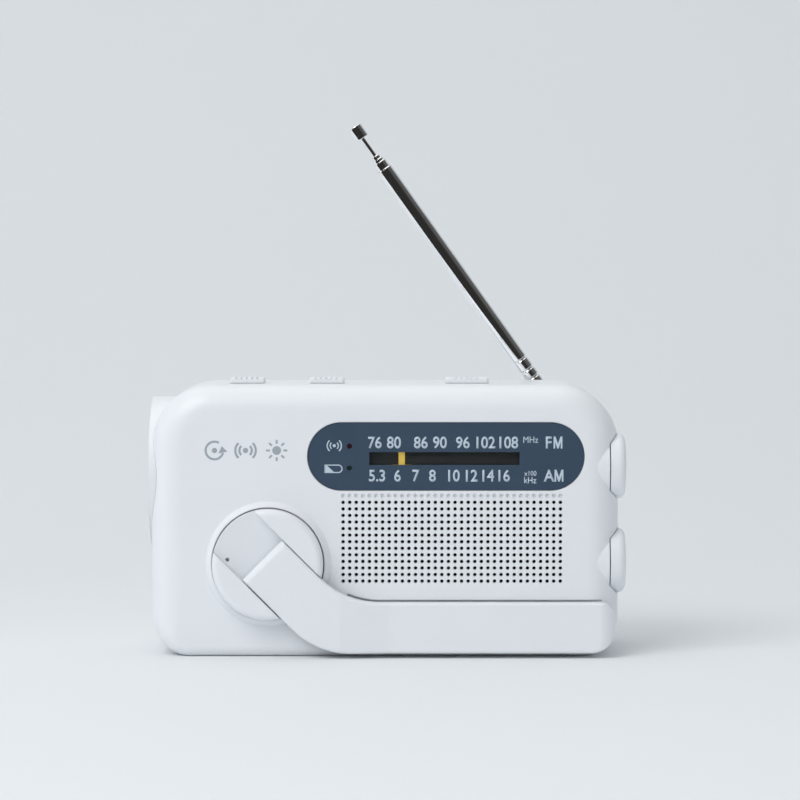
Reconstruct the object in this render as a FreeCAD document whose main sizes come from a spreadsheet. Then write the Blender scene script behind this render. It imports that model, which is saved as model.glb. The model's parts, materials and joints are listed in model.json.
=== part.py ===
import FreeCAD, Part
import math
import os
import re

import Sketcher

# Pocket hand-crank AM/FM radio with torch, millimetres.
# X runs to the listener's right, Y to the back and Z up; the origin is on the table, under the
# centre of the case. The front face is at y = -case_depth / 2.

SIZES = {
    # case
    "case_width": 133,
    "case_height": 77,
    "case_depth": 50,
    "parting_y": 1,
    "shell_wall": 2,
    "top_corner": 17.5,
    "bottom_corner": 11.3,
    "round_side": 9,
    "round_top": 7,
    "round_bottom": 3,
    "foot_radius": 4,
    "foot_height": 1.3,
    "foot_x": 48,
    "foot_y": 15,
    "screw_radius": 1.4,
    "screw_head": 2.6,
    "post_radius": 3,
    "screw_tip_y": -14,
    "screw_seat_y": 18,
    # dial
    "dial_x": 17.3,
    "dial_z": 56.9,
    "dial_length": 78.3,
    "dial_height": 19.2,
    "dial_plate": 1.3,
    "dial_sunk": 0.25,
    "slot_x": 16.9,
    "slot_z": 56.3,
    "slot_length": 42.5,
    "slot_height": 3.65,
    "led_x": -10,
    "tuning_led_z": 59.8,
    "battery_led_z": 53.6,
    "led_radius": 0.75,
    # tuning gear
    "pointer_x": 4.8,
    "pointer_width": 1.8,
    "drum_radius": 4,
    "drum_left": -6.5,
    "drum_right": 44,
    "drum_lead": 45.84,
    "groove_radius": 0.95,
    "peg_radius": 0.75,
    "rail_z": 60.8,
    "rail_y": -20.4,
    "rail_radius": 0.9,
    # side knobs
    "knob_y": -15.3,
    "tuning_z": 53.7,
    "volume_z": 26.7,
    "knob_radius": 9.3,
    "knob_inner": 64.1,
    "knob_outer": 68.5,
    "knob_gap": 0.45,
    "knob_round": 2.1,
    "shaft_radius": 1.5,
    # speaker and grille
    "hole_pitch": 1.865,
    "hole_radius": 0.49,
    "hole_columns": 34,
    "hole_rows": 13,
    "grille_left": -11.8,
    "grille_bottom": 21.5,
    "speaker_x": 19,
    "speaker_z": 32.2,
    "speaker_radius": 20,
    # crank
    "hub_x": -33.1,
    "hub_z": 26.5,
    "hub_radius": 15.7,
    "hub_rise": 6.2,
    "hub_gap": 0.28,
    "hub_round": 1.9,
    "collar_rise": 1.5,
    "arm_width": 15.9,
    "arm_thick": 4,
    "arm_round": 0.8,
    "arm_bend": 23,
    "bar_bottom": 1.4,
    "bar_top": 15.7,
    "bar_end": 65.3,
    "bar_back": 0.4,
    "bar_front": 4.8,
    "seat_gap": 0.4,
    "seat_start": -10.5,
    "pin_level": 4.1,
    "pin_radius": 1,
    "cup_x": 56.6,
    "cup_radius": 5.3,
    # gear train
    "gear_module": 0.6,
    "crank_teeth": 60,
    "small_teeth": 12,
    "wheel_teeth": 40,
    "pinion_teeth": 10,
    "train_angle": 20,
    "generator_angle": -60,
    "crank_gear_y": -17.5,
    "crank_gear_thick": 2.5,
    "wheel_y": -14.6,
    "wheel_thick": 2,
    "plate_y": -11.5,
    "plate_thick": 1.5,
    "crank_shaft_radius": 2.5,
    # torch
    "torch_y": 1,
    "torch_z": 50.8,
    "torch_radius": 22,
    "torch_proud": 0.8,
    # antenna
    "mast_x": 47.6,
    "mast_y": 21,
    "mast_z": 71.5,
    "mast_lean": 35.4,
    "tube_radius": 2.42,
    "tube_step": 0.36,
    "tube_wall": 0.28,
    "tube_lip": 0.3,
    "tube_end": 82.9,
    "mast_length": 98,
    "cap_radius": 2.15,
    "cap_length": 4.2,
    "turret_radius": 4,
    # top switches
    "switch_y": -7,
    "switch_rise": 1.7,
    "light_x": -39.5,
    "power_x": -16.7,
    "band_x": 23.5,
    # back
    "cell_radius": 7.1,
    "cell_length": 50.5,
    "tray_left": -8,
    "tray_right": 49,
    "tray_bottom": 7,
    "tray_top": 54.5,
    "tray_wall": 1.2,
    "tray_depth": 16.5,
    "port_x": -46,
    "port_z": 14,
}

RUNNING = 0.05  # radial play of a turning fit
SLIDING = 0.25  # play round moulded parts that slide or turn past each other

V = FreeCAD.Vector
doc = FreeCAD.newDocument("emergency_radio")
sheet = doc.addObject("Spreadsheet::Sheet", "Sizes")
for row, (alias, value) in enumerate(SIZES.items(), 1):
    sheet.set(f"A{row}", alias)
    sheet.set(f"B{row}", str(value))
    sheet.setAlias(f"B{row}", alias)
doc.recompute()


def size(alias):
    """The value of one cell of the sheet."""
    return float(sheet.get(alias))


def linked(text):
    """An expression with every alias turned into a link to its cell."""

    def link(word):
        return "Sizes." + word.group() if word.group() in SIZES else word.group()

    return re.sub(r"[a-z][a-z_]+", link, str(text))


def bind(thing, **expressions):
    """Binds properties to expressions in the sheet's aliases."""
    for name, text in expressions.items():
        thing.setExpression(name, linked(text))
    return thing


def put(thing, x=0, y=0, z=0):
    """Binds an object's position."""
    for axis, text in zip("xyz", (x, y, z)):
        thing.setExpression(".Placement.Base." + axis, linked(text))
    return thing


TURNS = {
    "X": FreeCAD.Rotation(V(0, 1, 0), 90),
    "Y": FreeCAD.Rotation(V(1, 0, 0), -90),
    "Z": FreeCAD.Rotation(),
}


def block(name, x, y, z):
    """A box between the two ends given for each direction."""
    thing = doc.addObject("Part::Box", name)
    bind(thing, Length=f"({x[1]}) - ({x[0]})", Width=f"({y[1]}) - ({y[0]})")
    bind(thing, Height=f"({z[1]}) - ({z[0]})")
    return put(thing, x[0], y[0], z[0])


def rod(name, axis, radius, start, end, centre):
    """A cylinder along an axis; centre holds its other two coordinates in X, Y, Z order."""
    thing = doc.addObject("Part::Cylinder", name)
    thing.Placement = FreeCAD.Placement(V(), TURNS[axis])
    bind(thing, Radius=radius, Height=f"({end}) - ({start})")
    base = list(centre)
    base.insert("XYZ".index(axis), start)
    return put(thing, *base)


def cone(name, axis, radius_start, radius_end, start, end, centre):
    """A frustum along an axis, like rod but with a radius at each end."""
    thing = doc.addObject("Part::Cone", name)
    thing.Placement = FreeCAD.Placement(V(), TURNS[axis])
    bind(thing, Radius1=radius_start, Radius2=radius_end, Height=f"({end}) - ({start})")
    base = list(centre)
    base.insert("XYZ".index(axis), start)
    return put(thing, *base)


def fuse(name, *things):
    """One solid from several that touch."""
    thing = doc.addObject("Part::MultiFuse", name)
    thing.Shapes = list(things)
    thing.Refine = True
    return thing


def cut(name, base, *tools):
    """The base without the tools."""
    thing = doc.addObject("Part::Cut", name)
    thing.Base = base
    thing.Tool = tools[0] if len(tools) == 1 else fuse(name + "_tools", *tools)
    return thing


def common(name, *things):
    """What the things share."""
    thing = doc.addObject("Part::MultiCommon", name)
    thing.Shapes = list(things)
    return thing


def softened(name, base, radius, picked):
    """The base with the edges that picked(edge) accepts rounded to a radius."""
    doc.recompute()
    numbers = [i for i, edge in enumerate(base.Shape.Edges, 1) if picked(edge)]
    thing = doc.addObject("Part::Fillet", name)
    thing.Base = base
    thing.Edges = [(number, radius, radius) for number in numbers]
    return thing


def group(name, *things):
    """Separate solids kept as one node."""
    thing = doc.addObject("Part::Compound", name)
    thing.Links = list(things)
    return thing


def coded(name, shape):
    """A piece whose shape is worked out in code from the sheet's values."""
    thing = doc.addObject("Part::Feature", name)
    thing.Shape = shape
    return thing


PIECES = {}


def piece(thing, name):
    """Marks an object as a finished piece of the radio, under the name of its file."""
    thing.Label = name
    PIECES[name] = thing
    return thing


# ---------------------------------------------------------------- outlines


def end_at(sketch, geometry, point):
    """Which end of a sketched line or arc lies at a point: 1 its start, 2 its end."""
    curve = sketch.Geometry[geometry]
    near = curve.StartPoint.distanceToPoint(point) < curve.EndPoint.distanceToPoint(point)
    return 1 if near else 2


def draw(sketch, path, corners=()):
    """Adds a closed path of lines (two points) and arcs (three points), joined smoothly
    except after the pieces listed in corners."""
    for points in path:
        vectors = [V(p[0], p[1], 0) for p in points]
        curve = Part.LineSegment(*vectors) if len(points) == 2 else Part.Arc(*vectors)
        sketch.addGeometry(curve, False)
    for i, points in enumerate(path):
        after = (i + 1) % len(path)
        joint = V(points[-1][0], points[-1][1], 0)
        kind = "Coincident" if i in corners else "Tangent"
        ends = (i, end_at(sketch, i, joint), after, end_at(sketch, after, joint))
        sketch.addConstraint(Sketcher.Constraint(kind, *ends))


def measure(sketch, name, expression, value, kind, *where):
    """Adds a dimension and binds it to an expression."""
    number = sketch.addConstraint(Sketcher.Constraint(kind, *where, value))
    sketch.renameConstraint(number, name)
    sketch.setExpression("Constraints." + name, linked(expression))


def body_sketch(name, role="XZ_Plane"):
    """A new body with an empty sketch on one of its origin planes."""
    body = doc.addObject("PartDesign::Body", name)
    sketch = body.newObject("Sketcher::SketchObject", name + "_outline")
    plane = [o for o in body.Origin.OriginFeatures if o.Role == role][0]
    sketch.AttachmentSupport = [(plane, "")]
    sketch.MapMode = "FlatFace"
    return body, sketch


def pad(body, sketch, front, back):
    """Pads a sketch on the XZ plane between two depths, front the lower y."""
    sketch.setExpression(".AttachmentOffset.Base.z", linked(f"-({back})"))
    thing = body.newObject("PartDesign::Pad", body.Name + "_pad")
    thing.Profile = sketch
    bind(thing, Length=f"({back}) - ({front})")
    body.Tip = thing
    return body


def rounded_plate(name, left, right, low, high, corner_low, corner_high, front, back):
    """A plate in the XZ plane with one radius for its lower corners and one for its upper."""
    body, sketch = body_sketch(name)
    x0, x1, z0, z1 = (value_of(text) for text in (left, right, low, high))
    a, b = value_of(corner_low), value_of(corner_high)
    k = 1 - math.sqrt(0.5)
    path = [
        [(x0 + a, z0), (x1 - a, z0)],
        [(x1 - a, z0), (x1 - k * a, z0 + k * a), (x1, z0 + a)],
        [(x1, z0 + a), (x1, z1 - b)],
        [(x1, z1 - b), (x1 - k * b, z1 - k * b), (x1 - b, z1)],
        [(x1 - b, z1), (x0 + b, z1)],
        [(x0 + b, z1), (x0 + k * b, z1 - k * b), (x0, z1 - b)],
        [(x0, z1 - b), (x0, z0 + a)],
        [(x0, z0 + a), (x0 + k * a, z0 + k * a), (x0 + a, z0)],
    ]
    draw(sketch, path)
    for line, kind in ((0, "Horizontal"), (4, "Horizontal"), (2, "Vertical"), (6, "Vertical")):
        sketch.addConstraint(Sketcher.Constraint(kind, line))
    for arc, text in ((1, corner_low), (7, corner_low), (3, corner_high), (5, corner_high)):
        measure(sketch, f"radius_{arc}", text, value_of(text), "Radius", arc)
    measure(sketch, "low", low, z0, "DistanceY", -1, 1, 0, 1)
    measure(sketch, "high", high, z1, "DistanceY", -1, 1, 4, 1)
    measure(sketch, "left", left, x0, "DistanceX", -1, 1, 6, 1)
    measure(sketch, "right", right, x1, "DistanceX", -1, 1, 2, 1)
    return pad(body, sketch, front, back)


def value_of(text):
    """The number that an expression in the sheet's aliases stands for."""
    names = re.findall(r"[a-z][a-z_]+", str(text))
    for name in sorted(set(names), key=len, reverse=True):
        text = re.sub(rf"\b{name}\b", str(size(name)), text)
    return float(FreeCAD.Units.Quantity(str(text)).Value)


# ---------------------------------------------------------------- case

FRONT = "-case_depth / 2"
BACK = "case_depth / 2"


def case_block(name, inset):
    """The case's outer form set in by a distance, rounded more at the sides than above and
    below; the radius changes along the corner arcs."""
    plate = rounded_plate(
        name + "_plate",
        f"-case_width / 2 + {inset}",
        f"case_width / 2 - {inset}",
        inset,
        f"case_height - {inset}",
        f"bottom_corner - {inset}",
        f"top_corner - {inset}",
        f"{FRONT} + {inset}",
        f"{BACK} - {inset}",
    )
    doc.recompute()
    off = value_of(inset)
    half_width = size("case_width") / 2 - off
    middle = size("case_height") / 2

    def radius_at(point):
        if abs(point.x) > half_width - 0.01:
            return size("round_side") - off
        return size("round_top" if point.z > middle else "round_bottom") - off

    rims = []
    for number, edge in enumerate(plate.Shape.Edges, 1):
        start = edge.valueAt(edge.FirstParameter)
        end = edge.valueAt(edge.LastParameter)
        if abs(start.y - end.y) < 0.01:
            rims.append((number, radius_at(start), radius_at(end)))
    rounded = doc.addObject("Part::Fillet", name)
    rounded.Base = plate
    rounded.Edges = rims
    return rounded


SCREW_PLACES = {
    "low_left": ("-58", "9"),
    "low_right": ("56", "9"),
    "high_left": ("-36", "61.8"),
    "high_right": ("54", "61.8"),
}
PLATE_POSTS = {"a": ("-50", "10"), "b": ("-12", "8"), "c": ("-39", "56")}
KNOBS = {"tuning": "tuning_z", "volume": "volume_z"}
# each switch: its place, its cap's width, and how far it slides to the left and to the right
SWITCHES = {
    "light": ("light_x", 10, 0, 3),
    "power": ("power_x", 10, 0, 3),
    "band": ("band_x", 12.4, 3, 3),
}


def feet():
    """Four rubber feet let into the underside."""
    made = []
    for side, x in (("left", "-foot_x"), ("right", "foot_x")):
        for end, y in (("front", "-foot_y"), ("back", "foot_y")):
            made.append(rod(f"foot_{side}_{end}", "Z", "foot_radius", "0", "foot_height", (x, y)))
    return made


def grille_holes():
    """The grid of through holes, with one more row of blind dimples above it."""
    radius, pitch = size("hole_radius"), size("hole_pitch")
    face = -size("case_depth") / 2
    dimple, through = 0.45, size("shell_wall") + 1
    holes = []
    for row in range(int(size("hole_rows")) + 1):
        depth = dimple if row == size("hole_rows") else through
        for column in range(int(size("hole_columns"))):
            x = size("grille_left") + pitch * column
            z = size("grille_bottom") + pitch * row
            holes.append(Part.makeCylinder(radius, depth + 1, V(x, face - 1, z), V(0, 1, 0)))
    return coded("grille_holes", Part.makeCompound(holes))


outer = case_block("case_outer", "0")
hollow = case_block("case_hollow", "shell_wall")
shell = cut("case_shell", outer, hollow)
front_half = block(
    "front_half", ("-case_width", "case_width"), ("-case_depth", "parting_y"),
    ("-9", "case_height + 9"),
)
rear_half = block(
    "rear_half", ("-case_width", "case_width"), ("parting_y", "case_depth"),
    ("-9", "case_height + 9"),
)

foot_solids = feet()
foot_hollows = [doc.copyObject(foot) for foot in foot_solids]
piece(group("rubber_feet_group", *foot_solids), "rubber_feet")


def arm_path(grow):
    """The crank arm's outline: a band at 45 degrees from the hub that bends into a level bar."""
    along = V(1, 0, -1).normalize()
    across = V(1, 0, 1).normalize()
    hub = V(size("hub_x"), 0, size("hub_z"))
    half = size("arm_width") / 2 + grow
    bend_high = size("arm_bend") - grow
    bend_low = size("arm_bend") + grow
    top, low = size("bar_top") + grow, size("bar_bottom") - grow
    end = size("bar_end") + grow
    root = -size("arm_thick") / 2 - grow
    corner_high, corner_low = 4.5 + grow, 7 + grow
    eighth = math.tan(math.radians(22.5))

    def bend(side, level, radius):
        """Start, middle and end of the arc that turns the band's edge level."""
        edge = hub + across * side
        meet = edge + along * ((edge.z - level) * math.sqrt(2))
        start = meet - along * (radius * eighth)
        finish = V(meet.x + radius * eighth, 0, level)
        centre = V(finish.x, 0, level + radius)
        lean = math.radians(22.5)
        middle = centre + V(-math.sin(lean), 0, -math.cos(lean)) * radius
        return start, middle, finish

    high_start, high_middle, high_end = bend(half, top, bend_high)
    low_start, low_middle, low_end = bend(-half, low, bend_low)
    k = 1 - math.sqrt(0.5)
    root_high = hub + across * half + along * root
    root_low = hub - across * half + along * root
    return [
        (root_high, high_start),
        (high_start, high_middle, high_end),
        (high_end, V(end - corner_high, 0, top)),
        (
            V(end - corner_high, 0, top), V(end - k * corner_high, 0, top - k * corner_high),
            V(end, 0, top - corner_high),
        ),
        (V(end, 0, top - corner_high), V(end, 0, low + corner_low)),
        (
            V(end, 0, low + corner_low), V(end - k * corner_low, 0, low + k * corner_low),
            V(end - corner_low, 0, low),
        ),
        (V(end - corner_low, 0, low), low_end),
        (low_end, low_middle, low_start),
        (low_start, root_low),
        (root_low, root_high),
    ]


def arm_blank(grow, front, back):
    """The arm's outline padded between two depths."""
    edges = []
    for points in arm_path(grow):
        edges.append(Part.makeLine(*points) if len(points) == 2 else Part.Arc(*points).toShape())
    face = Part.Face(Part.Wire(edges))
    face.translate(V(0, front, 0))
    return face.extrude(V(0, back - front, 0))


def front_case():
    """The front moulding: shell, crank collar, knob housings, posts, and all its openings."""
    face = -size("case_depth") / 2
    hub_centre = ("hub_x", "hub_z")
    adds = [common("front_shell", shell, front_half)]
    adds.append(
        cone(
            "collar", "Y", "hub_radius + hub_gap + 0.35", "hub_radius + hub_gap + 1.75",
            f"{FRONT} - collar_rise", FRONT, hub_centre,
        )
    )
    cuts = [rod("hub_bore", "Y", "hub_radius + hub_gap", f"{FRONT} - 9", f"{FRONT} + 9", hub_centre)]
    for name, height in KNOBS.items():
        centre = ("knob_y", height)
        floor = "knob_inner - 0.25"
        adds.append(rod(name + "_boss", "X", "knob_radius", f"{floor} - 6.4", floor, centre))
        ring = rod(
            name + "_ring", "X", "knob_radius + knob_gap + 1.6", f"{floor} - 1.8",
            "knob_inner + 1.5", centre,
        )
        adds.append(common(name + "_housing", ring, outer))
        cuts.append(rod(name + "_pocket", "X", "knob_radius + knob_gap", floor, "knob_outer + 9", centre))
        cuts.append(
            rod(
                name + "_boss_hollow", "X", "knob_radius - 1.8", f"{floor} - 9", f"{floor} - 2",
                centre,
            )
        )
        cuts.append(
            rod(
                name + "_shaft_hole", "X", f"shaft_radius + {RUNNING}", f"{floor} - 9",
                "knob_outer", centre,
            )
        )
    wall_back = f"{FRONT} + shell_wall"
    for name, (x, z) in SCREW_PLACES.items():
        adds.append(
            rod(
                f"front_post_{name}", "Y", "post_radius", f"{wall_back} - 0.5", "parting_y - 0.1",
                (x, z),
            )
        )
        cuts.append(rod(f"front_pilot_{name}", "Y", "screw_radius", "screw_tip_y", "9", (x, z)))
    for name, (x, z) in PLATE_POSTS.items():
        adds.append(rod(f"plate_post_{name}", "Y", "2.6", f"{wall_back} - 0.5", "plate_y", (x, z)))
    for x in ("-9.5", "44.5"):
        ear = block(
            "rail_ear", (f"{x} - 1", f"{x} + 1"), (f"{wall_back} - 0.5", "rail_y + 1.6"),
            ("rail_z - 1.5", "rail_z + 1.5"),
        )
        adds.append(ear)
    cuts.append(rod("rail_hole", "X", "rail_radius", "-11", "46", ("rail_y", "rail_z")))
    cuts.append(
        rounded_plate(
            "dial_recess",
            "dial_x - dial_length / 2 - 0.12",
            "dial_x + dial_length / 2 + 0.12",
            "dial_z - dial_height / 2 - 0.12",
            "dial_z + dial_height / 2 + 0.12",
            "dial_height / 2 + 0.11",
            "dial_height / 2 + 0.11",
            f"{FRONT} - 1",
            f"{FRONT} + dial_plate",
        )
    )
    slot_half = "slot_length / 2 + 2"
    cuts.append(
        block(
            "case_slot", (f"slot_x - ({slot_half})", f"slot_x + {slot_half}"),
            (FRONT, f"{FRONT} + 6"), ("52.7", "59.2"),
        )
    )
    for height in ("tuning_led_z", "battery_led_z"):
        cuts.append(rod("led_hole", "Y", "1.7", FRONT, f"{FRONT} + 6", ("led_x", height)))
    for name, (x, width, left, right) in SWITCHES.items():
        ends = (f"{x} - {left + 1.7}", f"{x} + {right + 1.7}")
        walls = ("switch_y - 1.45", "switch_y + 1.45")
        cuts.append(block(name + "_slot", ends, walls, ("case_height - 9", "case_height + 9")))
    cuts.append(torch_bore("front_torch_bore"))
    cuts.extend(foot_hollows[i] for i in (0, 2))
    seat = arm_blank(size("seat_gap"), face - 1, face + 1.1)
    keep = Part.makeBox(200, 9, 60, V(size("seat_start"), face - 2, -9))
    cuts.append(coded("arm_seat", seat.common(keep)))
    whole = cut("front_case_body", fuse("front_case_solid", *adds), *cuts)
    return cut("front_case_drilled", whole, grille_holes())


def torch_bore(name):
    """The round opening for the torch in the left side."""
    return rod(name, "X", "torch_radius + 0.1", "-case_width", "-58.5", ("torch_y", "torch_z"))


def rear_case():
    """The rear moulding with its antenna shelf, battery opening, port recess and screw tubes."""
    adds = [common("rear_shell", shell, rear_half)]
    shelf = block("antenna_shelf", ("-64", "58"), ("15.2", "case_depth"), ("65", "case_height"))
    adds.append(common("antenna_shelf_fitted", shelf, outer))
    cuts = [block("antenna_rebate", ("-70", "56"), ("17.2", "case_depth"), ("67", "case_height + 9"))]
    cuts.append(rod("turret_hole", "Y", "1.5", "9", "20", ("mast_x", "mast_z")))
    for name, (x, z) in SCREW_PLACES.items():
        adds.append(
            rod(
                f"rear_tube_{name}", "Y", "screw_head + 1.1", "parting_y + 0.1", f"{BACK} - 1",
                (x, z),
            )
        )
        cuts.append(rod(f"rear_way_{name}", "Y", "screw_radius + 0.2", "-1", "case_depth", (x, z)))
        cuts.append(
            rod(f"rear_seat_{name}", "Y", "screw_head + 0.2", "screw_seat_y", "case_depth", (x, z))
        )
    cuts.append(
        block(
            "battery_opening", ("tray_left", "tray_right"), (f"{BACK} - 4", "case_depth"),
            ("tray_bottom", "tray_top"),
        )
    )
    for x in ("tray_left - 1.5", "tray_right - 0.5"):
        cuts.append(rod("door_pivot_hole", "X", "0.8", x, f"{x} + 2", (DOOR_Y, DOOR_Z)))
    cuts.append(
        block(
            "port_opening", ("port_x - 9", "port_x + 9"), (f"{BACK} - 1.6", "case_depth"),
            ("port_z - 5", "port_z + 5"),
        )
    )
    cuts.append(
        block(
            "usb_opening", ("port_x - 6.2", "port_x + 6.2"), (f"{BACK} - 9", "case_depth"),
            ("port_z - 2.7", "port_z + 2.7"),
        )
    )
    cuts.append(torch_bore("rear_torch_bore"))
    cuts.extend(foot_hollows[i] for i in (1, 3))
    return cut("rear_case_body", fuse("rear_case_solid", *adds), *cuts)


DOOR_Y = f"{BACK} - 1.3"
DOOR_Z = "tray_bottom + 1.5"


def case_screws():
    """Four pan-head screws from the back into the front posts."""
    made = []
    for name, (x, z) in SCREW_PLACES.items():
        shank = rod(f"shank_{name}", "Y", "screw_radius", "screw_tip_y + 1", "screw_seat_y + 1", (x, z))
        head = rod(f"head_{name}", "Y", "screw_head", "screw_seat_y", "screw_seat_y + 1.8", (x, z))
        made.append(fuse(f"screw_{name}", shank, head))
    return group("case_screw_group", *made)


piece(front_case(), "front_case")
piece(rear_case(), "rear_case")
piece(case_screws(), "case_screws")


# ---------------------------------------------------------------- dial


def dial():
    """The dial plate, its clear window, the dark strip behind, and the two indicator LEDs."""
    level = (f"{FRONT} + dial_sunk", f"{FRONT} + dial_plate")
    plate = rounded_plate(
        "dial_plate_blank",
        "dial_x - dial_length / 2",
        "dial_x + dial_length / 2",
        "dial_z - dial_height / 2",
        "dial_z + dial_height / 2",
        "dial_height / 2 - 0.01",
        "dial_height / 2 - 0.01",
        *level,
    )
    slot_z = ("slot_z - slot_height / 2", "slot_z + slot_height / 2")
    slot_x = ("slot_x - slot_length / 2", "slot_x + slot_length / 2")
    slot = block("dial_slot", slot_x, (f"{FRONT} - 1", f"{FRONT} + 3"), slot_z)
    holes = [
        rod("led_sight", "Y", "led_radius", f"{FRONT} - 1", f"{FRONT} + 3", ("led_x", height))
        for height in ("tuning_led_z", "battery_led_z")
    ]
    piece(cut("dial_plate_cut", plate, slot, *holes), "dial_panel")
    window = block(
        "dial_window_block",
        (f"{slot_x[0]} + 0.03", f"{slot_x[1]} - 0.03"),
        (f"{level[0]} + 0.2", level[1]),
        (f"{slot_z[0]} + 0.03", f"{slot_z[1]} - 0.03"),
    )
    piece(window, "dial_window")
    wall_back = f"{FRONT} + shell_wall"
    piece(
        block("backing_block", ("-7.8", "43"), (wall_back, f"{wall_back} + 0.5"), ("54.5", "58.8")),
        "dial_backing",
    )
    for name, height in (("tuning_led", "tuning_led_z"), ("battery_led", "battery_led_z")):
        lamp = rod(
            name + "_lamp", "Y", "led_radius - 0.05", f"{level[0]} + 0.1", f"{FRONT} + 1.6",
            ("led_x", height),
        )
        foot = rod(name + "_base", "Y", "1.6", f"{FRONT} + 1.4", f"{FRONT} + 3.4", ("led_x", height))
        piece(fuse(name + "_body", lamp, foot), name)


def tuning():
    """The pointer on its rail and the spiral drum that pushes it along."""
    x0, x1 = "pointer_x - pointer_width / 2", "pointer_x + pointer_width / 2"
    blade_y = (f"{FRONT} + 1.45", f"{FRONT} + 1.85")
    blade = block("pointer_blade", (x0, x1), blade_y, ("53.1", "slot_z + slot_height / 2 + 0.6"))
    stem = block("pointer_stem", (x0, x1), (blade_y[0], "-21"), ("53", "54.2"))
    cheek = block(
        "pointer_carrier", ("pointer_x - 2.5", "pointer_x + 2.5"), ("-21.6", "-19.6"),
        ("53", "rail_z + 1.7"),
    )
    peg = rod(
        "pointer_peg", "Y", "peg_radius", "-20", "knob_y - drum_radius + 0.45",
        ("pointer_x", "tuning_z"),
    )
    way = rod("pointer_way", "X", f"rail_radius + {RUNNING}", "-10", "20", ("rail_y", "rail_z"))
    piece(cut("pointer_body", fuse("pointer_solid", blade, stem, cheek, peg), way), "tuning_pointer")
    piece(rod("rail_rod", "X", "rail_radius", "-10.5", "45.5", ("rail_y", "rail_z")), "pointer_rail")
    centre = ("knob_y", "tuning_z")
    drum = rod("drum", "X", "drum_radius", "drum_left", "drum_right", centre)
    spindle = rod("spindle_rod", "X", "shaft_radius", "drum_left - 5", "knob_outer - 2", centre)
    solid = fuse("spindle_solid", drum, spindle)
    piece(cut("spindle_body", solid, coded("spiral_groove", spiral_groove())), "tuning_spindle")
    case = block(
        "capacitor_block", ("-19", "drum_left - 0.6"), ("knob_y - 5.5", "knob_y + 5.5"),
        ("tuning_z - 5.5", "tuning_z + 5.5"),
    )
    bore = rod("capacitor_bore", "X", f"shaft_radius + {RUNNING}", "drum_left - 5.3", "drum_left", centre)
    piece(cut("capacitor_body", case, bore), "tuning_capacitor")


def spiral_groove():
    """A round-bottomed spiral in the drum: the peg meets it in front at every turn of the drum."""
    lead, radius = size("drum_lead"), size("drum_radius")
    reach_back, reach_on = 9.0, 33.0
    start = size("pointer_x") - reach_back
    helix = Part.makeLongHelix(lead, reach_back + reach_on, radius, 0, True)
    edge = helix.Edges[0]
    tangent = edge.tangentAt(edge.FirstParameter)
    circle = Part.Wire(Part.makeCircle(size("groove_radius"), edge.valueAt(edge.FirstParameter), tangent))
    sweep = Part.Wire(helix.Edges).makePipeShell([circle], True, True)
    if sweep.Volume < 0:
        sweep.reverse()
    # the helix climbs Z from +X; turn Z on to X, then bring its point at pointer_x to the front
    sweep.rotate(V(), V(0, 1, 0), 90)
    front_angle = 360 * reach_back / lead
    sweep.rotate(V(), V(1, 0, 0), groove_turn(front_angle))
    sweep.translate(V(start, size("knob_y"), size("tuning_z")))
    return sweep


def groove_turn(front_angle):
    """The turn about X that brings the groove's point at pointer_x to the front."""
    # after the turn on to X the groove starts at -Z (angle -90 from +Y about +X) and, being
    # left-handed, falls back by front_angle on its way to pointer_x; the front is at 180
    return 180 - (-90 - front_angle)


def side_knob(name, height):
    """A disc with a well-rounded outer rim, bored for its shaft."""
    centre = ("knob_y", height)
    disc = rod(name + "_disc", "X", "knob_radius", "knob_inner", "knob_outer", centre)
    outer_face = size("knob_outer") - 0.01
    dome = softened(name + "_dome", disc, size("knob_round"), lambda e: e.BoundBox.XMin > outer_face)
    bore = rod(name + "_bore", "X", "shaft_radius", "knob_inner - 1", "knob_outer - 2", centre)
    return cut(name + "_knob_body", dome, bore)


def volume():
    """The volume control behind the lower knob."""
    centre = ("knob_y", "volume_z")
    piece(rod("volume_rod", "X", "shaft_radius", "50", "knob_outer - 2", centre), "volume_shaft")
    case = rod("pot_case", "X", "6.4", "47", "55.5", centre)
    bore = rod("pot_bore", "X", f"shaft_radius + {RUNNING}", "49.8", "57", centre)
    piece(cut("pot_body", case, bore), "volume_potentiometer")


dial()
tuning()
volume()
piece(side_knob("tuning", "tuning_z"), "tuning_knob")
piece(side_knob("volume", "volume_z"), "volume_knob")


# ---------------------------------------------------------------- speaker


def speaker():
    """A 40 mm loudspeaker behind a black cloth."""
    centre = ("speaker_x", "speaker_z")
    wall_back = f"{FRONT} + shell_wall"
    piece(
        block(
            "cloth_block",
            ("grille_left - 1.5", "44"),
            (wall_back, f"{wall_back} + 0.4"),
            ("grille_bottom - 1.5", "grille_bottom + hole_pitch * hole_rows + 1.5"),
        ),
        "grille_cloth",
    )
    flange = rod("flange", "Y", "speaker_radius", "-22.5", "-21.3", centre)
    basket = cone("basket", "Y", "speaker_radius - 1", "9", "-21.4", "-14", centre)
    hollow_cone = cone("basket_hollow", "Y", "speaker_radius - 2.2", "7.6", "-22.6", "-13.9", centre)
    piece(cut("basket_body", fuse("basket_solid", flange, basket), hollow_cone), "speaker_basket")
    skin = cone("cone_skin", "Y", "speaker_radius - 2.6", "7", "-22.4", "-14.2", centre)
    inside = cone("cone_inside", "Y", "speaker_radius - 3.4", "6.2", "-22.6", "-14.6", centre)
    piece(cut("cone_body", skin, inside), "speaker_cone")
    piece(rod("magnet_disc", "Y", "9", "-13.9", "-9", centre), "speaker_magnet")


speaker()


# ---------------------------------------------------------------- crank


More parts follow.
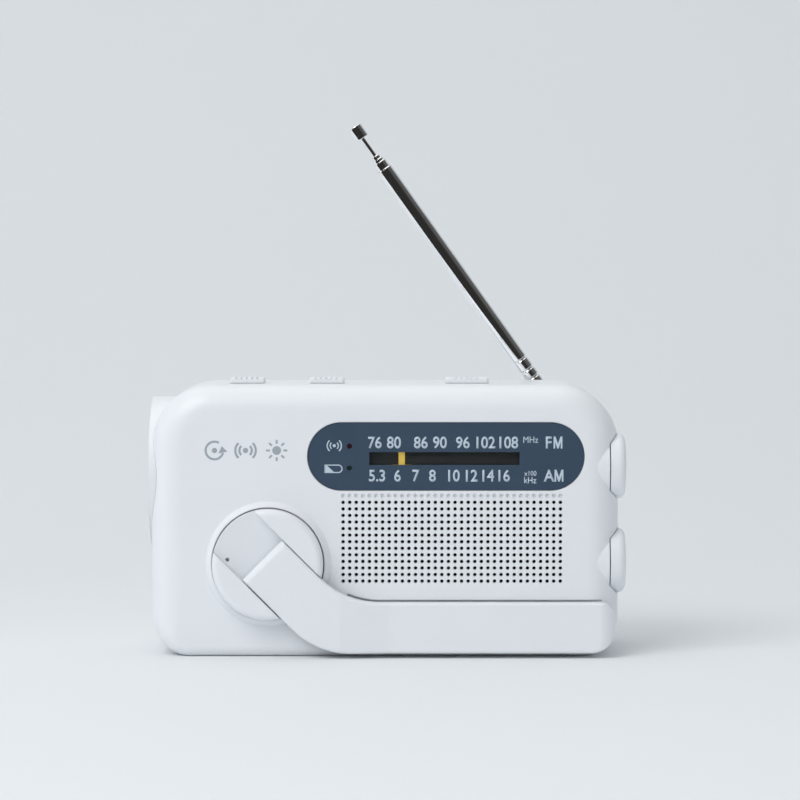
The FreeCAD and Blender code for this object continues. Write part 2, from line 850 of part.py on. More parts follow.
def hub():
    """The crank's disc with a slot for the arm's root; the far half of the slot climbs to the rim."""
    centre = ("hub_x", "hub_z")
    blank = rod("hub_blank", "Y", "hub_radius", f"{FRONT} - hub_rise", f"{FRONT} + 4", centre)
    rim = face_y(size("hub_rise")) + 0.01
    disc = softened("hub_disc", blank, size("hub_round"), lambda e: e.BoundBox.YMax < rim)
    boss = rod("hub_boss", "Y", "5", f"{FRONT} + 4", f"{FRONT} + 6.8", centre)
    socket = rod("hub_socket", "Y", "crank_shaft_radius", f"{FRONT} + 1", f"{FRONT} + 9", centre)
    tools = [
        socket, coded("hub_slot", hub_slot()),
        coded("hub_pin_hole", hinge_rod(size("pin_radius"), 13.2)),
    ]
    pip_out = 9.05
    pip = hub_point(-7.0, pip_out)
    tools.append(coded("hub_pip", Part.makeCylinder(0.5, 3, V(pip.x, face_y(1.9), pip.z), V(0, -1, 0))))
    return cut("hub_body", fuse("hub_solid", disc, boss), *tools)


def face_y(level):
    """The y of a level measured forward from the front face."""
    return -size("case_depth") / 2 - level


def hub_point(across, back):
    """A point on the hub: across along the hinge pin, back away from the arm."""
    side = V(1, 0, 1).normalize()
    away = V(-1, 0, 1).normalize()
    return V(size("hub_x"), 0, size("hub_z")) + side * across + away * back


def hinge_rod(radius, half_length):
    """A rod along the fold hinge."""
    start = hub_point(-half_length, 0)
    side = V(1, 0, 1).normalize()
    return Part.makeCylinder(
        radius, 2 * half_length, V(start.x, face_y(size("pin_level")), start.z), side
    )


def hub_slot():
    """Space for the arm's root, level on the arm's side and climbing on the other."""
    reach, floor, roof, climb = 20.0, 1.8, 9.0, 12.0
    half = size("arm_width") / 2 + SLIDING
    rise = floor + reach * math.tan(math.radians(climb))
    levels = [(-reach, floor), (0, floor), (reach, rise), (reach, roof), (-reach, roof)]
    points = []
    for back, level in levels:
        spot = hub_point(-half, back)
        points.append(V(spot.x, face_y(level), spot.z))
    face = Part.Face(Part.makePolygon(points + points[:1]))
    return face.extrude(V(1, 0, 1).normalize() * (2 * half))


def arm():
    """The crank arm: its root lies high in the hub, its bar lies low along the case, and its back
    holds a finger cup."""
    root_back = size("pin_level") - size("arm_thick") / 2
    root_front = size("pin_level") + size("arm_thick") / 2
    bar_back, bar_front = size("bar_back"), size("bar_front")
    blank = arm_blank(0, face_y(root_front), face_y(bar_back))
    step_start, step_end = -12.6, 1.2
    tall = 60

    def shaved(levels):
        """Everything in front of or behind a line of (x, level) points, as a prism along Z."""
        points = [V(x, face_y(level), -5) for x, level in levels]
        return Part.Face(Part.makePolygon(points + points[:1])).extrude(V(0, 0, tall))

    front_line = [
        (step_start, root_front), (step_end, bar_front), (90, bar_front), (90, 9), (step_start, 9)
    ]
    back_line = [
        (-70, root_back), (step_start, root_back), (step_end - 4, bar_back), (step_end, -2),
        (-70, -2),
    ]
    solid = blank.cut(shaved(front_line)).cut(shaved(back_line))
    solid = solid.makeFillet(size("arm_round"), front_rims(solid))
    solid = solid.cut(end_round())
    solid = solid.cut(barrel_waste())
    solid = solid.cut(hinge_rod(size("pin_radius") + RUNNING, 20))
    cup_z = (size("bar_top") + size("bar_bottom")) / 2
    cup_floor = 3.6
    cup_place = V(size("cup_x"), face_y(cup_floor), cup_z)
    cup_bore = Part.makeCylinder(
        size("cup_radius") + 0.1, cup_floor - bar_back + 1, cup_place, V(0, 1, 0)
    )
    stud_tip = 1.7
    stud = Part.makeCylinder(
        1.2, cup_floor - stud_tip + 0.2, V(size("cup_x"), face_y(cup_floor + 0.2), cup_z),
        V(0, 1, 0),
    )
    pilot = Part.makeCylinder(0.6, 1.8, V(size("cup_x"), face_y(stud_tip + 1.6), cup_z), V(0, 1, 0))
    solid = solid.cut(cup_bore).fuse(stud).cut(pilot)
    cell, rib, count = 10.5, 1.2, 4
    for i in range(count):
        left = 3.5 + i * (cell + rib)
        pocket_z = (size("bar_bottom") + 1.6, size("bar_top") - 1.6)
        corner = V(left, face_y(2.9), pocket_z[0])
        solid = solid.cut(Part.makeBox(cell, 5, pocket_z[1] - pocket_z[0], corner))
    return solid


def front_rims(solid):
    """The edges between the arm's front and its long sides, from the root to the bar's end."""
    root = hub_point(0, 0)
    away = V(-1, 0, 1).normalize()
    rims = []
    for edge in solid.Edges:
        middle = edge.valueAt((edge.FirstParameter + edge.LastParameter) / 2)
        at_root = (middle - root).dot(away) > size("arm_thick") / 2 - 0.1
        facing = [middle_normal(face).y for face in solid.ancestorsOfType(edge, Part.Face)]
        upright = [y for y in facing if abs(y) < 0.01]
        front = [y for y in facing if y < -0.1]
        if len(upright) == 1 and len(front) == 1 and not at_root:
            rims.append(edge)
    return rims


def middle_normal(face):
    """A face's outward direction in the middle of its parameters."""
    u0, u1, v0, v1 = face.ParameterRange
    return face.normalAt((u0 + u1) / 2, (v0 + v1) / 2)


def end_round():
    """What the bar's rounded end leaves out: its front curves back towards the case's side."""
    start = size("bar_end") - 5.8
    front, tip = size("bar_front"), 1.3
    curve = Part.Arc(
        V(start, face_y(front), -5),
        V(start + 3.6, face_y(front - 0.75), -5),
        V(size("bar_end") + 0.1, face_y(tip), -5),
    ).toShape()
    end = size("bar_end") + 0.1
    corner = V(end, face_y(front + 5), -5)
    lines = Part.makePolygon(
        [
            V(end, face_y(tip), -5), corner, V(start, face_y(front + 5), -5),
            V(start, face_y(front), -5),
        ]
    )
    return Part.Face(Part.Wire([curve] + lines.Edges)).extrude(V(0, 0, 30))


def barrel_waste():
    """What is shaved off the root's end to make a round barrel about the hinge pin."""
    radius = size("arm_thick") / 2
    waste = Part.makeBox(radius + 1, 2 * radius + 2, 60, V(-radius - 1, -radius - 1, -30))
    waste = waste.cut(Part.makeCylinder(radius, 60, V(0, 0, -30), V(0, 0, 1)))
    waste.rotate(V(), V(0, 1, 0), 45)
    waste.translate(V(size("hub_x"), face_y(size("pin_level")), size("hub_z")))
    return waste


def finger_cup():
    """A dished disc that turns on a stud in the arm's back, held by a small screw."""
    cup_z = (size("bar_top") + size("bar_bottom")) / 2
    low, high = 0.6, 3.5
    disc = Part.makeCylinder(
        size("cup_radius"), high - low, V(size("cup_x"), face_y(high), cup_z), V(0, 1, 0)
    )
    dish_radius, dish_deep = 9.0, 1.5
    dish = Part.makeSphere(dish_radius, V(size("cup_x"), face_y(low + dish_deep - dish_radius), cup_z))
    bore = Part.makeCylinder(1.2 + RUNNING, 9, V(size("cup_x"), face_y(6), cup_z), V(0, 1, 0))
    seat = Part.makeCylinder(2.4, 3, V(size("cup_x"), face_y(1.72), cup_z), V(0, 1, 0))
    cup = disc.cut(dish).cut(bore).cut(seat)
    head = Part.makeCylinder(2.1, 0.7, V(size("cup_x"), face_y(1.7), cup_z), V(0, 1, 0))
    shank = Part.makeCylinder(0.6, 1.6, V(size("cup_x"), face_y(3.2), cup_z), V(0, 1, 0))
    return cup, head.fuse(shank)


piece(hub(), "crank_hub")
piece(coded("arm_body", arm()), "crank_arm")
piece(coded("hinge_pin_body", hinge_rod(size("pin_radius"), 13)), "crank_hinge_pin")
CUP, CUP_SCREW = finger_cup()
piece(coded("cup_body", CUP), "finger_cup")
piece(coded("cup_screw_body", CUP_SCREW), "finger_cup_screw")


# ---------------------------------------------------------------- gear train and generator


def involute_gear(teeth, thick, phase):
    """A spur gear about the Y axis with its first tooth at an angle from +X towards +Z."""
    module = size("gear_module")
    pressure = math.radians(20)
    backlash = 0.12
    pitch = module * teeth / 2
    base = pitch * math.cos(pressure)
    tip = pitch + 0.95 * module
    root = pitch - 1.25 * module
    involute_at_pitch = math.tan(pressure) - pressure
    half_tooth = math.pi / (2 * teeth) - backlash / (2 * pitch)
    low = max(base, root)
    steps = 4
    flank = []
    for i in range(steps + 1):
        radius = low + (tip - low) * i / steps
        roll = math.acos(min(1, base / radius))
        flank.append((radius, half_tooth + involute_at_pitch - (math.tan(roll) - roll)))
    points = []
    for tooth in range(teeth):
        middle = phase + 2 * math.pi * tooth / teeth
        side = [(root, flank[0][1])] + flank if low > root else flank
        outline = [(r, middle - a) for r, a in side] + [(r, middle + a) for r, a in reversed(side)]
        points += [V(r * math.cos(a), 0, r * math.sin(a)) for r, a in outline]
    face = Part.Face(Part.makePolygon(points + points[:1]))
    return face.extrude(V(0, thick, 0))


def mesh_phase(teeth, other_teeth, other_phase, angle):
    """The phase that puts a tooth gap of this gear on the line of centres where the other gear,
    seen at an angle from it, has whatever its own phase puts there."""
    other_turn = (angle - other_phase) * other_teeth / (2 * math.pi)
    other_part = other_turn - math.floor(other_turn)
    # on the shared line the two gears run opposite ways, half a tooth apart
    own = (0.5 - other_part) % 1
    return angle + math.pi - own * 2 * math.pi / teeth


def train():
    """Crank gear, step-up gear and generator pinion, placed in mesh."""
    module = size("gear_module")
    counts = [int(size(name)) for name in ("crank_teeth", "small_teeth", "wheel_teeth", "pinion_teeth")]
    crank, small, wheel, pinion = counts
    hub = V(size("hub_x"), 0, size("hub_z"))
    first, second = (math.radians(size(name)) for name in ("train_angle", "generator_angle"))
    step = hub + V(math.cos(first), 0, math.sin(first)) * (module * (crank + small) / 2)
    generator = step + V(math.cos(second), 0, math.sin(second)) * (module * (wheel + pinion) / 2)

    def at(shape, place, depth):
        shape.translate(V(place.x, depth, place.z))
        return shape

    def bar(radius, start, end, place):
        return Part.makeCylinder(radius, end - start, V(place.x, start, place.z), V(0, 1, 0))

    gear_y, gear_thick = size("crank_gear_y"), size("crank_gear_thick")
    shaft = size("crank_shaft_radius")
    crank_gear = at(involute_gear(crank, gear_thick, 0), hub, gear_y)
    piece(coded("crank_gear_body", crank_gear.cut(bar(shaft, -30, 9, hub))), "crank_gear")
    shaft_front = -size("case_depth") / 2 + 1
    piece(coded("crank_shaft_body", bar(shaft, shaft_front, -9.4, hub)), "crank_shaft")

    wheel_y, wheel_thick = size("wheel_y"), size("wheel_thick")
    small_gear = at(
        involute_gear(small, wheel_y - gear_y + 0.4, mesh_phase(small, crank, 0, first)), step,
        gear_y - 0.2,
    )
    wheel_gear = at(involute_gear(wheel, wheel_thick, 0), step, wheel_y)
    axle = 1.0
    step_gear = small_gear.fuse(wheel_gear).cut(bar(axle + RUNNING, -30, 9, step))
    piece(coded("step_gear_body", step_gear), "step_up_gear")
    piece(
        coded("axle_body", bar(axle, gear_y - 1.5, size("plate_y") + size("plate_thick"), step)),
        "step_up_axle",
    )

    rotor_shaft = 0.9
    pinion_gear = at(
        involute_gear(pinion, 2.4, mesh_phase(pinion, wheel, 0, second)), generator, wheel_y - 0.2
    )
    piece(coded("pinion_body", pinion_gear.cut(bar(rotor_shaft, -30, 9, generator))), "generator_pinion")
    can_radius, can_front, can_back, can_wall = 12, -6.8, 4.4, 0.8
    magnet = bar(9.6, can_front + 1.6, can_back - 1.6, generator)
    rotor = magnet.fuse(bar(rotor_shaft, wheel_y - 0.2, can_back - 0.3, generator))
    piece(coded("rotor_body", rotor), "generator_rotor")
    coil = bar(11, can_front + 1.4, can_back - 1.4, generator).cut(bar(9.9, -9, 9, generator))
    piece(coded("coil_body", coil), "generator_coil")
    can = bar(can_radius, can_front, can_back, generator)
    can = can.cut(bar(11.15, can_front + can_wall, can_back - can_wall, generator))
    can = can.fuse(bar(3, size("plate_y"), can_front, generator))
    can = can.cut(bar(rotor_shaft + RUNNING, -12, can_back - 0.2, generator))
    piece(coded("can_body", can), "generator_can")

    corners = [
        (-54, 6), (-8, 4.5), (-0.5, 12), (-0.5, 30), (-6, 46), (-20, 47), (-30, 58), (-43, 58),
        (-44, 28), (-54, 18),
    ]
    outline = [V(x, size("plate_y"), z) for x, z in corners]
    plate = Part.Face(Part.makePolygon(outline + outline[:1])).extrude(V(0, size("plate_thick"), 0))
    for radius, place in ((shaft + RUNNING, hub), (axle, step), (3.02, generator)):
        plate = plate.cut(bar(radius, -30, 9, place))
    piece(coded("plate_body", plate), "gearbox_plate")


train()


# ---------------------------------------------------------------- torch


def torch():
    """The lamp in the left side: bezel, lens, reflector, LED and its board."""
    centre = ("torch_y", "torch_z")
    tip = "-case_width / 2 - torch_proud"
    bezel = rod("bezel_tube", "X", "torch_radius", tip, "-59", centre)
    mouth = cone(
        "bezel_mouth", "X", "torch_radius - 1.6", "torch_radius - 3.4", tip, f"{tip} + 1.6", centre
    )
    through = rod("bezel_through", "X", "torch_radius - 3.4", f"{tip} - 1", "-50", centre)
    seat = rod("bezel_seat", "X", "torch_radius - 2", f"{tip} + 3.2", "-50", centre)
    piece(cut("bezel_body", bezel, mouth, through, seat), "torch_bezel")
    piece(
        rod("lens_disc", "X", "torch_radius - 2.1", f"{tip} + 3.2", f"{tip} + 4.6", centre),
        "torch_lens",
    )
    skin = cone("reflector_skin", "X", "torch_radius - 2.2", "4.6", f"{tip} + 4.7", "-47", centre)
    inside = cone("reflector_inside", "X", "torch_radius - 3", "3.6", f"{tip} + 4.6", "-46.9", centre)
    piece(cut("reflector_body", skin, inside), "torch_reflector")
    piece(rod("led_dome", "X", "2.4", "-49.5", "-46.8", centre), "torch_led")
    piece(rod("led_board", "X", "7", "-46.8", "-45.6", centre), "torch_board")


torch()


# ---------------------------------------------------------------- antenna

LEAN = math.radians(size("mast_lean"))
MAST = V(size("mast_x"), size("mast_y"), size("mast_z"))
UP = V(-math.sin(LEAN), 0, math.cos(LEAN))  # along the antenna
PIN = V(math.cos(LEAN), 0, math.sin(LEAN))  # along its tilt pin


def along(start, end, radius):
    """A round bar on the antenna's axis between two distances from its pin."""
    return Part.makeCylinder(radius, end - start, MAST + UP * start, UP)


def tapered(start, end, radius, end_radius):
    """A frustum on the antenna's axis."""
    return Part.makeCone(radius, end_radius, end - start, MAST + UP * start, UP)


def tube_outside(start, end, radius):
    """A bar whose far end is chamfered, as a drawn tube's rolled lip is."""
    lip = size("tube_lip")
    return along(start, end - lip, radius).fuse(tapered(end - lip, end, radius, radius - 0.8 * lip))


def ring_groove(place, radius):
    """A round-bottomed groove about the antenna's axis, for cutting."""
    return Part.makeTorus(radius + 0.2, 0.5, MAST + UP * place, UP)


def slab(half_wide, half_deep, start, end):
    """A bar of rectangular section on the antenna's axis: half_wide along the pin."""
    corner = MAST + UP * start - PIN * half_wide - V(0, half_deep, 0)
    edges = [corner, corner + PIN * 2 * half_wide]
    edges += [edges[1] + V(0, 2 * half_deep, 0), corner + V(0, 2 * half_deep, 0)]
    return Part.Face(Part.makePolygon(edges + edges[:1])).extrude(UP * (end - start))


def across(radius, half_length):
    """A round bar along the tilt pin."""
    return Part.makeCylinder(radius, 2 * half_length, MAST - PIN * half_length, PIN)


def antenna():
    """Turret, tilt pin and a telescope of tubes, each able to slide out of the one below."""
    shelf_wall = 17.2
    tongue, cheek, eye = 1.2, 2.6, 2.3
    disc = Part.makeCylinder(size("turret_radius"), 1.1, V(MAST.x, shelf_wall + 0.1, MAST.z), V(0, 1, 0))
    stalk = Part.makeCylinder(1.45, 4, V(MAST.x, shelf_wall - 3.4, MAST.z), V(0, 1, 0))
    ears = across(eye, cheek)
    web_depth = MAST.y - shelf_wall - 1.1
    web = slab(cheek, web_depth / 2, -eye, eye)
    web.translate(V(0, -web_depth / 2, 0))
    gap = slab(tongue + 0.08, 9, -9, 9).common(
        Part.makeBox(40, 20, 40, V(MAST.x - 20, shelf_wall + 1.25, MAST.z - 20))
    )
    turret = disc.fuse([stalk, ears.fuse(web).cut(gap)]).cut(across(0.8, 9))
    piece(coded("turret_body", turret), "antenna_turret")
    piece(coded("mast_pin_body", across(0.8, cheek)), "antenna_pin")

    radius, step, wall = size("tube_radius"), size("tube_step"), size("tube_wall")
    top, foot = size("tube_end"), 7.2
    blade = slab(tongue, eye, 0, foot - 2.5).common(along(0, foot, eye))
    first = across(eye, tongue).fuse([blade, tube_outside(foot - 2.6, top, radius)])
    bore_from = 16
    first = first.cut(along(bore_from, top + 1, radius - wall)).cut(across(0.8 + RUNNING, 9))
    for place in (foot + 0.1, foot + 2.9, foot + 6.4):
        first = first.cut(ring_groove(place, radius))
    piece(coded("tube_body_1", first), "antenna_tube_1")
    end = top
    for number, ferrule in ((2, 2.5), (3, 1.0), (4, 1.15)):
        outside = radius - step * (number - 1)
        start = bore_from + 1.5 * (number - 1)
        end += ferrule
        tube = tube_outside(start, end, outside).cut(along(start + 1, end + 1, outside - wall))
        piece(coded(f"tube_body_{number}", tube), f"antenna_tube_{number}")
    whole = size("mast_length")
    cap_start = whole - size("cap_length")
    cap = along(cap_start, whole, size("cap_radius"))
    cap = cap.makeFillet(0.3, cap.Edges)
    rod_start = bore_from + 6.5
    tip = along(rod_start, cap_start + 0.1, 0.65).fuse(
        [cap, along(rod_start, rod_start + 3, radius - step * 3 - wall - 0.05)]
    )
    piece(coded("tip_body", tip), "antenna_tip")


antenna()


# ---------------------------------------------------------------- switches and electronics


def switches():
    """Three slide switches: a ridged cap over each slot and an identical switch body below."""
    bodies = []
    for name, (x, width, left, right) in SWITCHES.items():
        cap_z = ("case_height + 0.1", "case_height + switch_rise")
        depth = ("switch_y - 3", "switch_y + 3")
        half = width / 2
        cap = block(name + "_cap_blank", (f"{x} - {half}", f"{x} + {half}"), depth, cap_z)
        underside = size("case_height") + 0.2
        cap = softened(name + "_cap", cap, 0.6, lambda e: e.BoundBox.ZMax > underside)
        stem_y = ("switch_y - 1.2", "switch_y + 1.2")
        stem = block(name + "_stem", (f"{x} - 1.5", f"{x} + 1.5"), stem_y, ("73", "case_height + 0.5"))
        grooves = []
        count, spacing = 5, 1.5
        for i in range(count):
            spot = f"{x} + {(i - (count - 1) / 2) * spacing:.2f}"
            groove_x = (f"{spot} - 0.3", f"{spot} + 0.3")
            groove_z = ("case_height + switch_rise - 0.5", "case_height + 9")
            grooves.append(block(name + "_groove", groove_x, ("switch_y - 4", "switch_y + 4"), groove_z))
        solid = fuse(name + "_switch_solid", cap, stem)
        piece(cut(name + "_switch_body", solid, *grooves), name + "_switch")
        case = block(name + "_base", (f"{x} - 6.5", f"{x} + 6.5"), depth, ("68.5", "74.6"))
        well_x = (f"{x} - {left + 1.8}", f"{x} + {right + 1.8}")
        well = block(name + "_well", well_x, ("switch_y - 1.45", "switch_y + 1.45"), ("72.6", "80"))
        bodies.append(cut(name + "_base_body", case, well))
    piece(group("switch_base_group", *bodies), "switch_bases")


def electronics():
    """Main board, ferrite aerial and the charging socket."""
    board = block("board", ("2", "50"), ("-8.5", "-6.9"), ("50", "66"))
    piece(board, "main_board")
    piece(rod("ferrite", "X", "4", "-30", "30", ("8", "69.5")), "ferrite_rod")
    outer_coil = rod("coil_outer", "X", "4.8", "-14", "8", ("8", "69.5"))
    inner_coil = rod("coil_inner", "X", "4", "-15", "9", ("8", "69.5"))
    piece(cut("ferrite_coil_body", outer_coil, inner_coil), "ferrite_coil")
    socket = block(
        "usb_block", ("port_x - 6", "port_x + 6"), ("15.5", f"{BACK} - 1.8"),
        ("port_z - 2.5", "port_z + 2.5"),
    )
    mouth = block(
        "usb_mouth", ("port_x - 5.2", "port_x + 5.2"), ("17", "30"),
        ("port_z - 1.7", "port_z + 1.7"),
    )
    tongue = block(
        "usb_tongue", ("port_x - 4.4", "port_x + 4.4"), ("16.5", "21"),
        ("port_z - 0.4", "port_z + 0.6"),
    )
    piece(fuse("usb_body", cut("usb_shell", socket, mouth), tongue), "usb_socket")
    flap_z = ("port_z - 4.8", "port_z + 4.8")
    flap = block(
        "flap_plate", ("port_x - 8.1", "port_x + 8.8"), (f"{BACK} - 1.5", f"{BACK} - 0.1"), flap_z
    )
    roll = rod("flap_roll", "Z", "0.7", *flap_z, ("port_x - 8.1", f"{BACK} - 0.8"))
    piece(fuse("flap_body", flap, roll), "port_cover")


def battery():
    """Three AA cells in a tray behind a hinged door."""
    tray_y = (f"{BACK} - 2 - tray_depth", f"{BACK} - 4.1")
    outside = block(
        "tray_block", ("tray_left - tray_wall", "tray_right + tray_wall"), tray_y,
        ("tray_bottom - tray_wall", "tray_top + tray_wall"),
    )
    inside = block(
        "tray_hollow", ("tray_left", "tray_right"), (f"{tray_y[0]} + tray_wall", "case_depth"),
        ("tray_bottom", "tray_top"),
    )
    piece(cut("tray_body", outside, inside), "battery_tray")
    cells = []
    first = "tray_left + 3.2"
    for i in range(3):
        height = f"tray_bottom + cell_radius + 0.8 + {i} * (2 * cell_radius + 0.9)"
        depth = f"{tray_y[0]} + tray_wall + cell_radius + 0.1"
        can = rod("cell_can", "X", "cell_radius", first, f"{first} + cell_length - 1.2", (depth, height))
        nub = rod(
            "cell_nub", "X", "2.7", f"{first} + cell_length - 1.3", f"{first} + cell_length",
            (depth, height),
        )
        cells.append(fuse(f"cell_{i}", can, nub))
    piece(group("cell_group", *cells), "battery_cells")
    plates = []
    for side, (x0, x1) in (
        ("left", ("tray_left + 0.05", "tray_left + 0.55")),
        ("right", ("tray_right - 0.55", "tray_right - 0.05")),
    ):
        for i in range(3):
            height = f"tray_bottom + cell_radius + 0.8 + {i} * (2 * cell_radius + 0.9)"
            plates.append(
                block(
                    f"contact_{side}_{i}", (x0, x1), (f"{tray_y[0]} + 3", f"{tray_y[0]} + 12"),
                    (f"{height} - 5", f"{height} + 5"),
                )
            )
    piece(group("contact_group", *plates), "battery_contacts")
    door = block(
        "door_plate", ("tray_left + 0.2", "tray_right - 0.2"), (f"{BACK} - 2.6", BACK),
        (DOOR_Z, "tray_top - 0.2"),
    )
    lower = rod("door_barrel", "X", "1.3", "tray_left + 0.2", "tray_right - 0.2", (DOOR_Y, DOOR_Z))
    pegs = rod(
        "door_pegs", "X", f"0.8 - {RUNNING}", "tray_left - 1.2", "tray_right + 1.2",
        (DOOR_Y, DOOR_Z),
    )
    piece(fuse("door_body", door, lower, pegs), "battery_door")


switches()
electronics()
battery()


# ---------------------------------------------------------------- checks and export

doc.recompute()
for thing in doc.Objects:
    for word in ("Invalid", "Error"):
        if word in thing.State:
            raise RuntimeError(f"{thing.Name} is {word}")
os.makedirs("parts", exist_ok=True)
for name, thing in PIECES.items():
    if thing.Shape.isNull() or not thing.Shape.isValid() or not thing.Shape.Solids:
        raise RuntimeError(f"{name} has no valid solid")
    thing.Shape.exportStep(f"parts/{name}.step")
print(len(PIECES), "pieces")
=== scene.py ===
import json
import math

import bmesh
import bpy
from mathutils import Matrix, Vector


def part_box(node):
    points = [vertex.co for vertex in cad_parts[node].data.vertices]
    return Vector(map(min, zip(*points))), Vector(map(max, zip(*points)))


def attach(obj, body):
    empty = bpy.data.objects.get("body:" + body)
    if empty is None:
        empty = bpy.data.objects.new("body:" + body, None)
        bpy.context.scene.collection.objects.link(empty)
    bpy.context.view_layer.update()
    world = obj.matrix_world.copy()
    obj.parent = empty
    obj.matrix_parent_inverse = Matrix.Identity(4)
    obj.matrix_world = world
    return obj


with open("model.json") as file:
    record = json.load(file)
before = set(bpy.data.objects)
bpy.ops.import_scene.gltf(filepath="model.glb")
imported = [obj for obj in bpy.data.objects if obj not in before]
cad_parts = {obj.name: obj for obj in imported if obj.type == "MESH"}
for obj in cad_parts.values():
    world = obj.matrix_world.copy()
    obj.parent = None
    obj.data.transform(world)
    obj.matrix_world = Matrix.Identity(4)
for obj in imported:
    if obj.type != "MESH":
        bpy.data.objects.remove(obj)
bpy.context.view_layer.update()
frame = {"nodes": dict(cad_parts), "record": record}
nodes = frame["nodes"]

# Everything is in the frame's metres, unless it says millimetres. The front face looks along -Y,
# +Z is up and +X is to the right of someone facing the radio.
MM = 0.001
FRONT = -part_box("rear_case")[1].y  # the case reaches as far forward as back
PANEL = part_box("dial_panel")[0].y
PRINT = 0.03 * MM  # how far printed marks stand out


# ---------------------------------------------------------------- node helpers

# cosines of a rounded normal's turn: on a plain face, and well over an edge
UNTURNED, TURNED = 0.995, 0.8


class Tree:
    """Adds and links nodes in an emptied node tree."""

    def __init__(self, tree):
        self.tree = tree
        self.tree.nodes.clear()

    def add(self, kind, **settings):
        node = self.tree.nodes.new(kind)
        for name, value in settings.items():
            setattr(node, name, value)
        return node

    def feed(self, socket, value):
        """Links a socket, or sets its value."""
        if isinstance(value, bpy.types.NodeSocket):
            self.tree.links.new(value, socket)
        elif isinstance(value, tuple) and len(value) == 3 and socket.type == "RGBA":
            socket.default_value = (*value, 1)
        else:
            socket.default_value = value

    def math(self, operation, a, b, clamp=False):
        node = self.add("ShaderNodeMath", operation=operation, use_clamp=clamp)
        self.feed(node.inputs[0], a)
        self.feed(node.inputs[1], b)
        return node.outputs[0]

    def ramp(self, value, low, high, start=0.0, end=1.0):
        """Maps low..high onto start..end, clamped."""
        node = self.add("ShaderNodeMapRange")
        names = ("Value", "From Min", "From Max", "To Min", "To Max")
        for name, number in zip(names, (value, low, high, start, end)):
            self.feed(node.inputs[name], number)
        return node.outputs["Result"]

    def mix(self, factor, a, b):
        node = self.add("ShaderNodeMix", data_type="RGBA")
        self.feed(node.inputs["Factor"], factor)
        self.feed(node.inputs["A"], a)
        self.feed(node.inputs["B"], b)
        return node.outputs["Result"]

    def shade(self, colour, amount):
        """Scales a colour by a socket."""
        node = self.add("ShaderNodeVectorMath", operation="SCALE")
        self.feed(node.inputs[0], colour)
        self.feed(node.inputs["Scale"], amount)
        return node.outputs[0]


class Nodes(Tree):
    """Builds one material's node tree in object space."""

    def __init__(self, name):
        self.material = bpy.data.materials.new(name)
        self.material.use_nodes = True
        super().__init__(self.material.node_tree)
        self.place = self.add("ShaderNodeTexCoord").outputs["Object"]

    def noise(self, size, detail=3.0, roughness=0.5):
        """Noise whose features are about size metres across, 0 to 1."""
        node = self.add("ShaderNodeTexNoise")
        self.feed(node.inputs["Vector"], self.place)
        self.feed(node.inputs["Scale"], 1 / size)
        self.feed(node.inputs["Detail"], detail)
        self.feed(node.inputs["Roughness"], roughness)
        return node.outputs["Fac"]

    def rounded(self, radius):
        """A normal that is turned near edges as if they were rounded."""
        node = self.add("ShaderNodeBevel", samples=4)
        self.feed(node.inputs["Radius"], radius)
        return node.outputs["Normal"]

    def edges(self, soft):
        """1 on edges and 0 on plain faces, from how far the rounded normal is turned."""
        plain = self.add("ShaderNodeNewGeometry").outputs["Normal"]
        dot = self.add("ShaderNodeVectorMath", operation="DOT_PRODUCT")
        self.feed(dot.inputs[0], plain)
        self.feed(dot.inputs[1], soft)
        return self.ramp(dot.outputs["Value"], UNTURNED, TURNED)

    def bump(self, height, depth, normal=None):
        """A normal for a surface that rises by depth metres where height is 1."""
        node = self.add("ShaderNodeBump")
        self.feed(node.inputs["Strength"], 1.0)
        self.feed(node.inputs["Distance"], depth)
        self.feed(node.inputs["Height"], height)
        if normal is not None:
            self.feed(node.inputs["Normal"], normal)
        return node.outputs["Normal"]

    def blend(self, factor, a, b):
        """Mixes two shaders."""
        node = self.add("ShaderNodeMixShader")
        self.feed(node.inputs[0], factor)
        self.tree.links.new(a, node.inputs[1])
        self.tree.links.new(b, node.inputs[2])
        return node.outputs[0]

    def finish(self, shader):
        output = self.add("ShaderNodeOutputMaterial")
        self.tree.links.new(shader, output.inputs["Surface"])
        return self.material

    def principled(self, **values):
        node = self.add("ShaderNodeBsdfPrincipled")
        for name, value in values.items():
            self.feed(node.inputs[name.replace("_", " ")], value)
        return node.outputs["BSDF"]


def plastic(name, colour, roughness, grain=0.25, grain_depth=0.004, wear=0.1, mottle=0.02,
            edge=0.25, coat=0.0, specular=0.5, worn=None, glow=0.0):
    """Moulded plastic: fine grain, faint mottling, smudged gloss, slightly worn edges (mm); glow
    is painted light.
    """
    n = Nodes(name)
    soft = n.rounded(edge * MM)
    on_edge = n.edges(soft)
    patches = n.noise(22 * MM, 2)
    speckle = n.noise(0.35 * MM, 2)
    tone = n.ramp(patches, 0.3, 0.7, 1 - mottle, 1 + mottle)
    tone = n.math("MULTIPLY", tone, n.ramp(speckle, 0.3, 0.7, 1 - mottle / 3, 1 + mottle / 3))
    rubbed = n.math("MULTIPLY", on_edge, n.ramp(n.noise(3 * MM, 4, 0.7), 0.45, 0.65, 0, wear))
    base = n.mix(rubbed, n.shade(colour, tone), worn or colour)
    smudge = n.ramp(n.noise(9 * MM, 5, 0.65), 0.35, 0.7, -0.05, 0.05)
    rough = n.math("ADD", roughness, smudge)
    rough = n.math("ADD", rough, n.math("MULTIPLY", rubbed, 0.2), clamp=True)
    normal = n.bump(n.noise(grain * MM, 3, 0.6), grain_depth * MM, soft)
    # a glow above zero is painted light: the part shines though it is no lamp
    return n.finish(n.principled(
        Base_Color=base, Roughness=rough, Normal=normal, Coat_Weight=coat,
        Coat_Roughness=0.08, Specular_IOR_Level=specular, Emission_Color=colour,
        Emission_Strength=glow,
    ))


